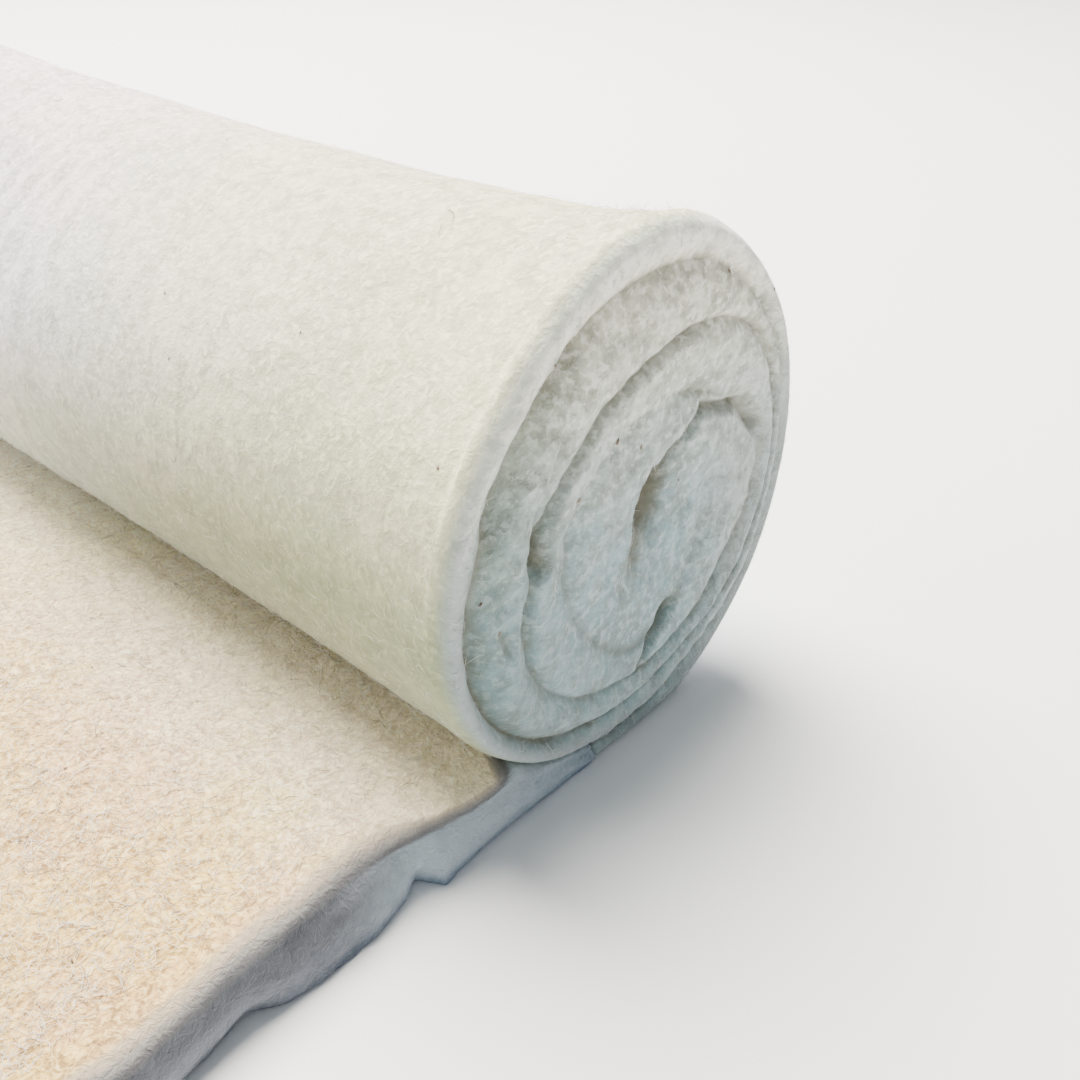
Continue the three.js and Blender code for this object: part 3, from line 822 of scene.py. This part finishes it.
# Where fibres start: back along the wall and round it, and out on the loose end where it
# shows most and anywhere, in half heights and degrees
WALL_BACK, WALL_ROUND = (-8.1, -0.05), (-72, 246)
LOOSE_BACK, LOOSE_OUT_NEAR, LOOSE_OUT_ALL = (0.06, 8.1), (0.62, 2.5), (0.62, 2.86)


def random_fibres(rng, count, length, width, height, standing, curl):
    """The side steps, heights and radii of fibres, from ranges in millimetres."""
    first, second = wander(rng, count, rng.uniform(*length, count) * MM, curl)
    height = lifts(rng, count, height * rng.uniform(0.4, 1.2, count)[:, None], standing)
    return first, second, height, rng.uniform(*width, count) * MM


def wall_fibres(name, rng, count, material, share_near=0.6, length=(2.0, 6.0), width=(0.035, 0.065),
                height=0.9 * MM, standing=0.35, reach=4.9, sector=(80, 226)):
    near = rng.uniform(0, 1, count) < share_near
    x = np.where(near, -reach * rng.beta(1.0, 1.15, count), rng.uniform(*WALL_BACK, count)) * HALF_HEIGHT
    angle = np.where(near, rng.uniform(*sector, count), rng.uniform(*WALL_ROUND, count))
    first, second, height, radii = random_fibres(rng, count, length, width, height, standing, 0.5)
    x = x[:, None] + first
    kept = (x.max(axis=1) < WALL_STATIONS[0]) & (x.min(axis=1) > WALL_STATIONS[-1])
    paths = wall_point(x, angle[:, None] + np.degrees(second / HALF_HEIGHT), height)
    return fibre_object(name, paths[kept], radii[kept], material)


def loose_fibres(name, rng, count, material, share_near=0.65, length=(2.0, 6.0), width=(0.035, 0.07),
                 height=0.8 * MM, standing=0.25, curl=0.55):
    near = rng.uniform(0, 1, count) < share_near
    out = np.where(near, rng.uniform(*LOOSE_OUT_NEAR, count), rng.uniform(*LOOSE_OUT_ALL, count))
    reach = np.interp(out, [0.6, 2.4], [4.0, 0.9])
    x = -np.where(near, rng.uniform(0.02, 1, count) * reach, rng.uniform(*LOOSE_BACK, count)) * HALF_HEIGHT
    first, second, height, radii = random_fibres(rng, count, length, width, height, standing, curl)
    x = x[:, None] + first
    out = out[:, None] + second / HALF_HEIGHT
    # None reaches over a cut edge, far in under the roll or over the front edge
    kept = (x.max(axis=1) < -0.16 * HALF_HEIGHT) & (x.min(axis=1) > -8.05 * HALF_HEIGHT)
    kept &= (out.min(axis=1) > 0.5) & (out.max(axis=1) < 2.85)
    paths = loose_top(x, out)
    paths[..., 2] += height
    return fibre_object(name, paths[kept], radii[kept], material)


def end_fibres(name, rng, count, outward, material, length=(1.0, 3.0), width=(0.02, 0.035),
               height=0.5 * MM, standing=0.4):
    windings = (len(TURNS) - 0.9) * rng.uniform(0, 1, count) ** 1.5
    across = rng.uniform(0.03, 0.97, count)
    first, second, height, radii = random_fibres(rng, count, length, width, height, standing, 0.5)
    _, outer, inner = layer_at(windings)
    radius = np.maximum(outer, 3 * MM)
    layer = np.maximum(radius - inner, 2 * MM)
    windings = windings[:, None] + first / (2 * math.pi * radius[:, None])
    across = across[:, None] + second / layer[:, None]
    kept = (windings.min(axis=1) > 0.02) & (windings.max(axis=1) < len(TURNS) - 0.1)
    kept &= (across.min(axis=1) > 0) & (across.max(axis=1) < 1)
    paths, _ = end_surface(windings, across, outward)
    paths[..., 0] += outward * height
    return fibre_object(name, paths[kept], radii[kept], material)


# Single specks and hairs that show, each by its place: on the near end in y and z, on the
# wall in x and degrees round it, on the loose end in x and out, all shares of the half
# height. Lengths and widths are in millimetres, and a hair turns by its bend along its way.
END_SPECKS = [
    {"at": (-0.14, 1.32), "long": 1.2, "wide": 0.50, "turn": 60},
    {"at": (-0.02, 1.26), "long": 1.0, "wide": 0.38, "turn": 100},
    {"at": (-0.34, 1.19), "long": 1.0, "wide": 0.38, "turn": 40},
    {"at": (-0.45, 1.70), "long": 0.7, "wide": 0.28, "turn": 10},
    {"at": (0.43, 1.75), "long": 0.8, "wide": 0.30, "turn": 120},
    {"at": (0.71, 1.61), "long": 0.7, "wide": 0.26, "turn": 80},
    {"at": (-0.79, 1.02), "long": 0.8, "wide": 0.34, "turn": 70},
    {"at": (-0.72, 0.87), "long": 1.2, "wide": 0.34, "turn": 90},
    {"at": (0.21, 0.12), "long": 0.8, "wide": 0.30, "turn": 0},
    {"at": (0.24, 1.02), "long": 0.5, "wide": 0.22, "turn": 90},
]
WALL_SPECKS = [
    {"at": (-1.73, 140), "long": 0.8, "wide": 0.24, "turn": 60},
    {"at": (-0.97, 137), "long": 0.6, "wide": 0.18, "turn": 30},
    {"at": (-0.14, 151), "long": 1.0, "wide": 0.30, "turn": 50},
    {"at": (-1.56, 153), "long": 0.6, "wide": 0.16, "turn": 100},
]
WALL_HAIRS = [
    {"at": (-0.79, 100), "long": 6.0, "wide": 0.07, "turn": 8, "bend": 50},
    {"at": (-1.44, 173), "long": 4.0, "wide": 0.07, "turn": 70, "bend": 160},
    {"at": (-2.10, 96), "long": 3.6, "wide": 0.07, "turn": 150, "bend": 200},
    {"at": (-3.30, 101), "long": 3.6, "wide": 0.07, "turn": 10, "bend": -190},
    {"at": (-1.15, 215), "long": 4.0, "wide": 0.06, "turn": 30, "bend": -90},
]
LOOSE_SPECKS = [
    {"at": (-0.41, 2.09), "long": 1.0, "wide": 0.26, "turn": 20},
    {"at": (-1.12, 1.69), "long": 0.8, "wide": 0.22, "turn": 80},
    {"at": (-0.94, 1.96), "long": 0.7, "wide": 0.20, "turn": 140},
    {"at": (-1.55, 1.34), "long": 0.6, "wide": 0.18, "turn": 10},
]
LOOSE_HAIRS = [
    {"at": (-1.23, 1.17), "long": 9.0, "wide": 0.08, "turn": 30, "bend": 70},
    {"at": (-0.70, 1.79), "long": 5.0, "wide": 0.08, "turn": 100, "bend": -110},
    {"at": (-0.79, 1.51), "long": 4.0, "wide": 0.08, "turn": 10, "bend": 90},
    {"at": (-0.90, 0.65), "long": 5.0, "wide": 0.08, "turn": 150, "bend": 60},
    {"at": (-1.23, 1.50), "long": 6.0, "wide": 0.08, "turn": 60, "bend": -90},
    {"at": (-0.62, 1.54), "long": 3.5, "wide": 0.08, "turn": 0, "bend": 140},
    {"at": (-0.18, 1.62), "long": 4.0, "wide": 0.09, "turn": 80, "bend": 60},
    {"at": (-0.48, 1.89), "long": 3.5, "wide": 0.08, "turn": 130, "bend": 100},
    {"at": (-0.38, 1.78), "long": 3.0, "wide": 0.08, "turn": 30, "bend": -60},
    {"at": (-0.47, 1.58), "long": 4.0, "wide": 0.08, "turn": 170, "bend": 80},
    {"at": (-0.09, 1.41), "long": 3.0, "wide": 0.07, "turn": 45, "bend": -120},
]


def marked(rows):
    """The start, the side steps and the radius of each row's speck or hair."""
    place = np.arange(FIBRE_POINTS - 1)[None] / (FIBRE_POINTS - 2)
    bend = np.array([row.get("bend", 0) for row in rows], float)[:, None]
    heading = np.radians(column(rows, "turn")[:, None] + bend * place)
    step = (column(rows, "long") * MM / (FIBRE_POINTS - 1))[:, None]
    start = np.zeros((len(rows), 1))
    first = np.concatenate([start, (step * np.cos(heading)).cumsum(axis=1)], axis=1)
    second = np.concatenate([start, (step * np.sin(heading)).cumsum(axis=1)], axis=1)
    at = np.array([row["at"] for row in rows], float)
    return at[:, :1], at[:, 1:], first, second, column(rows, "wide") * MM


def end_place(y, z):
    """The windings and the share across of a place on the near end."""
    angle = np.degrees(np.arctan2(z - SPIRAL_Z, y - SPIRAL_Y))
    angle = START_ANGLE + (angle - START_ANGLE) % 360
    radius = np.hypot(y - SPIRAL_Y, z - SPIRAL_Z)
    turn = sum((crevice_radius(angle + 360 * k) > radius).astype(float) for k in range(1, len(TURNS)))
    windings = (angle - START_ANGLE) / 360 + turn
    _, outer, inner = layer_at(windings)
    return windings, np.clip((outer - radius) / (outer - inner), 0, 1)


def end_path(y, z, first, second, height):
    windings, across = end_place(y * HALF_HEIGHT + first, z * HALF_HEIGHT + second)
    return end_surface(windings, across, 1)[0] + np.array([height, 0, 0])


def wall_path(x, angle, first, second, height):
    return wall_point(x * HALF_HEIGHT + first, angle + np.degrees(second / HALF_HEIGHT), height)


def loose_path(x, out, first, second, height):
    return loose_top(x * HALF_HEIGHT + first, out + second / HALF_HEIGHT) + np.array([0, 0, height])


def marks(name, rows, path, height, material):
    """A table's specks or hairs as one piece, a height above the surface that path lies on."""
    *steps, radii = marked(rows)
    return fibre_object(name, path(*steps, height), radii, material)


def build_fibres():
    pale = fibre_material("pale_fibre", (0.84, 0.82, 0.77), (0.95, 0.94, 0.90))
    cream = fibre_material("cream_fibre", (0.88, 0.79, 0.63), (0.96, 0.91, 0.80))
    brown = fibre_material("brown_fibre", (0.20, 0.15, 0.11), (0.38, 0.29, 0.21))
    # The pale fibres again, darker and bluer in painted shade, for the ends
    shaded_pale = fibre_material("shaded_pale_fibre", (0.42, 0.49, 0.50), (0.64, 0.70, 0.70))
    rng = np.random.default_rng(20)
    pieces = [
        wall_fibres("roll_fuzz", rng, 3600, pale, width=(0.02, 0.038), height=0.25 * MM, standing=0.15),
        wall_fibres("roll_dark_hairs", rng, 60, brown, width=(0.03, 0.05), standing=0.1),
        wall_fibres("rim_fuzz", rng, 800, pale, share_near=1, length=(1.5, 3.5), width=(0.025, 0.042),
                    height=1.4 * MM, standing=0.7, reach=0.4, sector=(-70, 130)),
        wall_fibres("crease_fuzz", rng, 900, pale, share_near=1, length=(2, 5), width=(0.025, 0.04),
                    height=1.1 * MM, standing=0.6, sector=(188, 228)),
        wall_fibres("ridge_fuzz", rng, 500, pale, share_near=1, length=(2, 4.5), width=(0.02, 0.035),
                    height=0.9 * MM, standing=0.6, sector=(70, 110)),
        end_fibres("near_end_fuzz", rng, 3000, 1, shaded_pale),
        end_fibres("near_end_hairs", rng, 420, 1, pale, length=(1.8, 4.2), width=(0.025, 0.04),
                   height=0.9 * MM, standing=0.55),
        end_fibres("far_end_fuzz", rng, 1500, -1, shaded_pale),
        loose_fibres("loose_fuzz_low", rng, 7000, cream),
        loose_fibres("loose_curls", rng, 1300, cream, share_near=0.8, length=(3, 7), width=(0.04, 0.075),
                     height=1.2 * MM, standing=0.35, curl=0.8),
        loose_fibres("loose_brown_hairs", rng, 1000, brown, length=(1.8, 4.5), width=(0.035, 0.06),
                     height=1.1 * MM, standing=0.2),
        marks("near_end_specks", END_SPECKS, end_path, 0.1 * MM, brown),
        marks("roll_specks", WALL_SPECKS, wall_path, 0.05 * MM, brown),
        marks("roll_long_hairs", WALL_HAIRS, wall_path, 0.15 * MM, brown),
        marks("loose_specks", LOOSE_SPECKS, loose_path, 0.2 * MM, brown),
        marks("loose_long_hairs", LOOSE_HAIRS, loose_path, 0.4 * MM, brown),
    ]
    for piece in pieces:
        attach(piece, "root")


def main():
    wound = build_roll(roll_material())
    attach(wound, "root")
    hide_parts("batting_roll")
    loose = build_loose(loose_material())
    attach(loose, "root")
    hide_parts("loose_end")
    build_fibres()


def build_stage():
    material = bpy.data.materials.new("pale_floor")
    material.use_nodes = True
    shader = material.node_tree.nodes["Principled BSDF"]
    shader.inputs["Base Color"].default_value = (0.93, 0.93, 0.93, 1.0)
    shader.inputs["Roughness"].default_value = 0.9
    shader.inputs["Specular IOR Level"].default_value = 0.1
    bpy.ops.mesh.primitive_plane_add(size=12.0, location=(0, 0, 0))
    floor = bpy.context.object
    floor.name = "floor"
    floor.data.materials.append(material)


def area_light(name, place, aim, size, power, colour):
    data = bpy.data.lights.new(name, "AREA")
    data.shape = "DISK"
    data.size = size
    data.energy = power
    data.color = colour
    obj = bpy.data.objects.new(name, data)
    obj.location = place
    obj.rotation_euler = (Vector(aim) - Vector(place)).to_track_quat("-Z", "Y").to_euler()
    bpy.context.scene.collection.objects.link(obj)


def build_lights():
    world = bpy.data.worlds.new("studio")
    world.use_nodes = True
    background = world.node_tree.nodes["Background"]
    background.inputs["Color"].default_value = (0.86, 0.93, 1.0, 1.0)
    background.inputs["Strength"].default_value = 0.42
    bpy.context.scene.world = world
    area_light("key_light", (-0.45, 0.3, 1.25), (0, 0, 0.03), 1.2, 120.0, (1.0, 0.955, 0.88))
    area_light("front_light", (-0.8, -1.0, 1.0), (0, 0, 0.03), 0.8, 12.0, (1.0, 0.96, 0.90))


def build_camera():
    turn, tilt, lean = (math.radians(v) for v in (CAMERA_TURN, CAMERA_TILT, CAMERA_LEAN))
    ahead = Vector((-math.sin(turn) * math.cos(tilt), math.cos(turn) * math.cos(tilt), -math.sin(tilt)))
    right = Vector((math.cos(turn), math.sin(turn), 0.0))
    down = ahead.cross(right)
    side = math.cos(lean) * right + math.sin(lean) * down
    under = -math.sin(lean) * right + math.cos(lean) * down
    data = bpy.data.cameras.new("camera")
    data.lens = CAMERA_LENS
    data.sensor_fit = "HORIZONTAL"
    data.sensor_width = SENSOR
    data.clip_start = 0.01
    camera = bpy.data.objects.new("camera", data)
    place = Vector((NEAR_X, MIDDLE_Y, 0.0)) + Vector(CAMERA_OFFSET)
    columns = Matrix((side, -under, -ahead)).transposed().to_4x4()
    camera.matrix_world = Matrix.Translation(place) @ columns
    bpy.context.scene.collection.objects.link(camera)
    bpy.context.scene.camera = camera


build_camera()
build_stage()
build_lights()
main()
